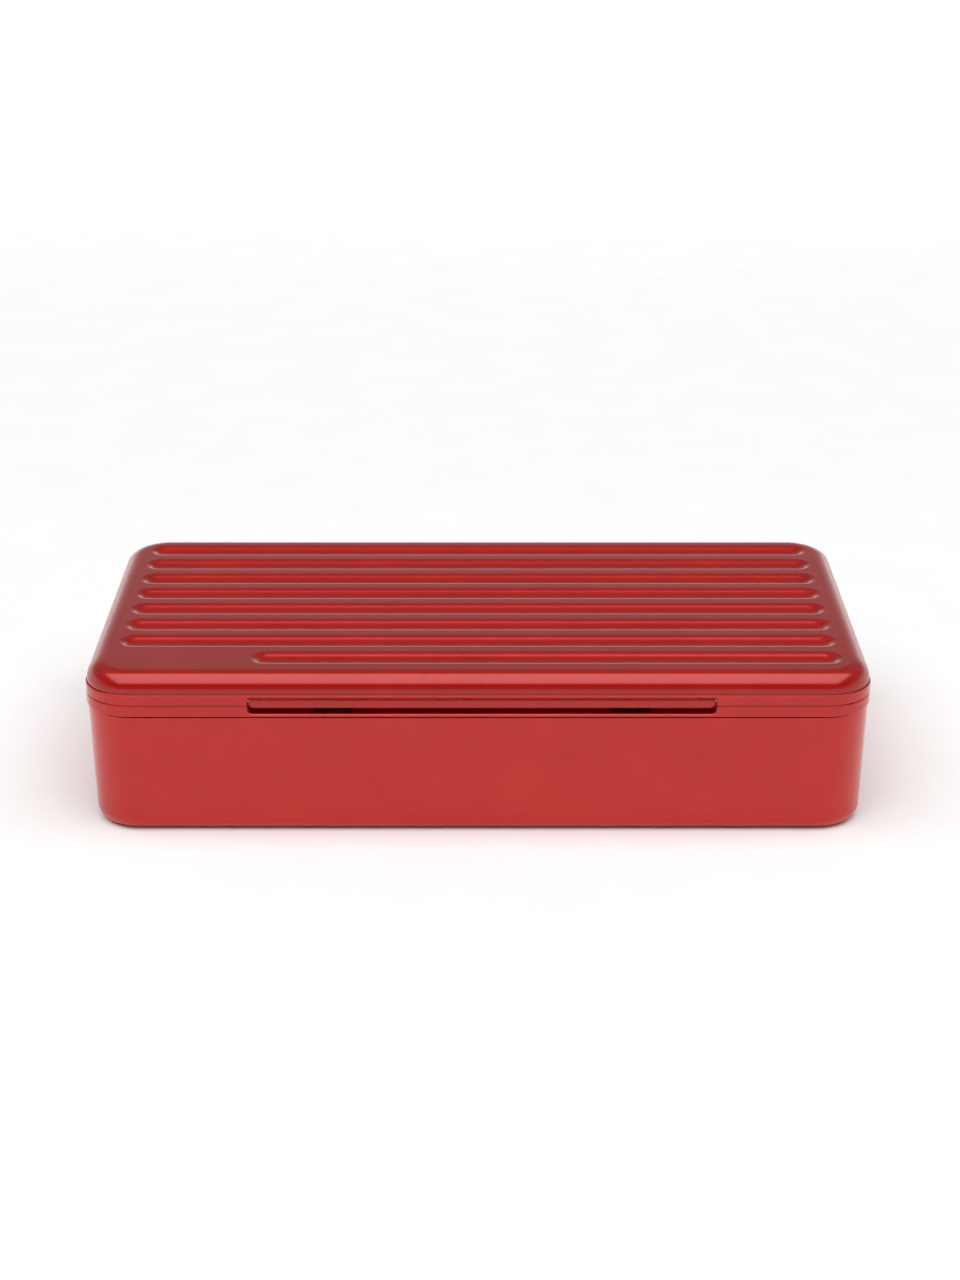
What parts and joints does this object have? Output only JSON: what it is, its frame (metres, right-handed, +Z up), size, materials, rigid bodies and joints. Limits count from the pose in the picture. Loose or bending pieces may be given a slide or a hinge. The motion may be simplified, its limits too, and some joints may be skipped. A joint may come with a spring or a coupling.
{
  "type": "metal lunch box",
  "caption": "Slim hinged metal lunch box with a fluted lid, machined rim frames and a long spring latch bar across the front.",
  "frame": {"origin": "the middle of the flat underside of the tub, on the plane it rests on", "axes": "X runs along the box's length to the right as seen from the latch side, Y runs from the latch front to the hinge back, Z is up"},
  "size_m": [0.24, 0.1251, 0.0524],
  "materials": {
    "red_anodised": "bead-blasted and anodised, satin red",
    "red_frame": "machined and anodised, satin red, matched to the shells",
    "red_latch": "drawn and anodised, satin red, a shade darker than the frames",
    "dark_silicone": "dark grey silicone",
    "dark_steel": "blackened steel",
    "steel": "plain stainless steel"
  },
  "bodies": {
    "tub": {"tub_shell": "red_anodised", "tub_frame": "red_frame", "tub_inner_ring": "red_frame", "tub_gasket": "dark_silicone", "tub_frame_screws": "steel", "keeper_left": "dark_steel", "keeper_right": "dark_steel", "keeper_screws": "dark_steel", "hinge_pin_left": "steel", "hinge_pin_right": "steel"},
    "lid": {"lid_shell": "red_anodised", "lid_frame": "red_frame", "lid_inner_ring": "red_frame", "lid_gasket": "dark_silicone", "lid_frame_screws": "steel", "lid_seal": "dark_silicone", "latch_pin_left": "steel", "latch_pin_right": "steel", "latch_spring_left": "steel", "latch_spring_right": "steel"},
    "latch": {"latch_bar": "red_latch"}
  },
  "joints": [
    {"name": "lid_hinge", "type": "hinge", "parent": "tub", "child": "lid", "pos_m": [0, 0.0623, 0.0428], "axis": [-1, 0, 0], "range_deg": [0, 110]},
    {"name": "latch_pivot", "type": "hinge", "parent": "lid", "child": "latch", "pos_m": [0.00115, -0.0588, 0.044], "axis": [-1, 0, 0], "range_deg": [0, 30], "stiffness_Nm_per_rad": 0.004, "springref_deg": -5.73, "deforming": ["latch_spring_left", "latch_spring_right"]}
  ]
}
